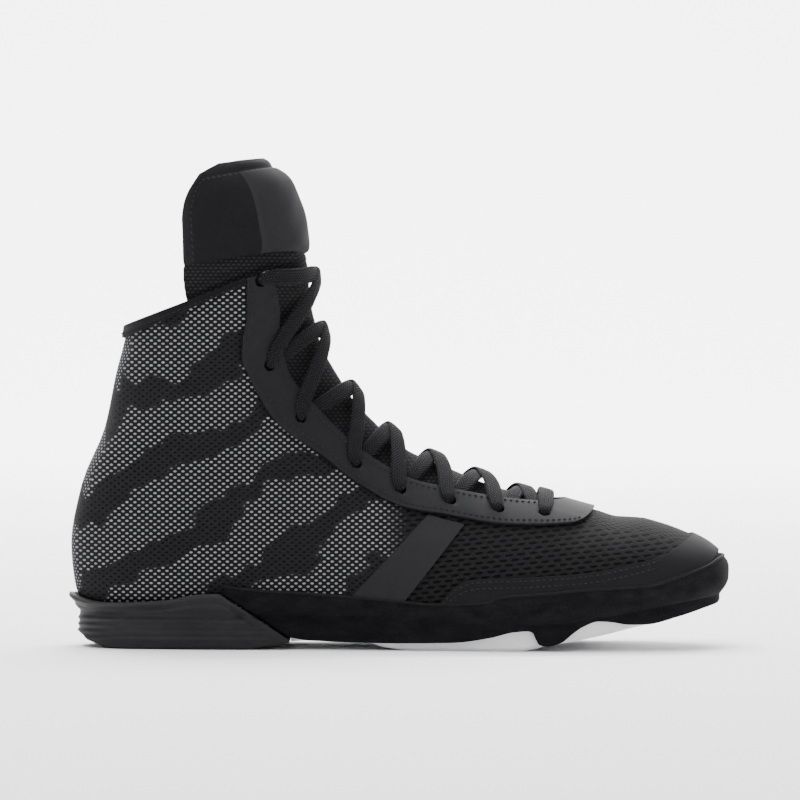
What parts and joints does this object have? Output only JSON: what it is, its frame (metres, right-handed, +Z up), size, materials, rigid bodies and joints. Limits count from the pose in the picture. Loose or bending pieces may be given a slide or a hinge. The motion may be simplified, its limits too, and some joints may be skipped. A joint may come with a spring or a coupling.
{
  "type": "wrestling shoe",
  "caption": "Black high-top wrestling shoe with a mesh upper, smooth lace facing, tall padded tongue, flat laces and a light forefoot sole, for the right foot",
  "frame": {"origin": "middle of the shoe's bounding box, on the floor", "axes": "+X to the toe, -Y to the outer side, +Z up"},
  "size_m": [0.2898, 0.101, 0.2132],
  "materials": {
    "black_mesh": "matt mesh",
    "smooth_grey": "smooth coated",
    "matte_grey": "matt",
    "black_suede": "suede",
    "grey_rubber": "satin",
    "white_rubber": "satin",
    "black_lace": "woven"
  },
  "bodies": {
    "root": {"upper": "black_mesh", "eyestay": "smooth_grey", "toe_overlay": "smooth_grey", "side_panel_lateral": "matte_grey", "side_panel_medial": "matte_grey", "foxing": "black_suede", "collar_binding": "black_lace", "heel_cup": "grey_rubber", "outsole": "white_rubber", "insole": "black_mesh", "tongue": "black_mesh", "lace_bar": "black_lace", "lace_cross_1": "black_lace", "lace_cross_2": "black_lace", "lace_cross_3": "black_lace", "lace_cross_4": "black_lace", "lace_cross_5": "black_lace", "lace_cross_6": "black_lace"}
  },
  "joints": []
}
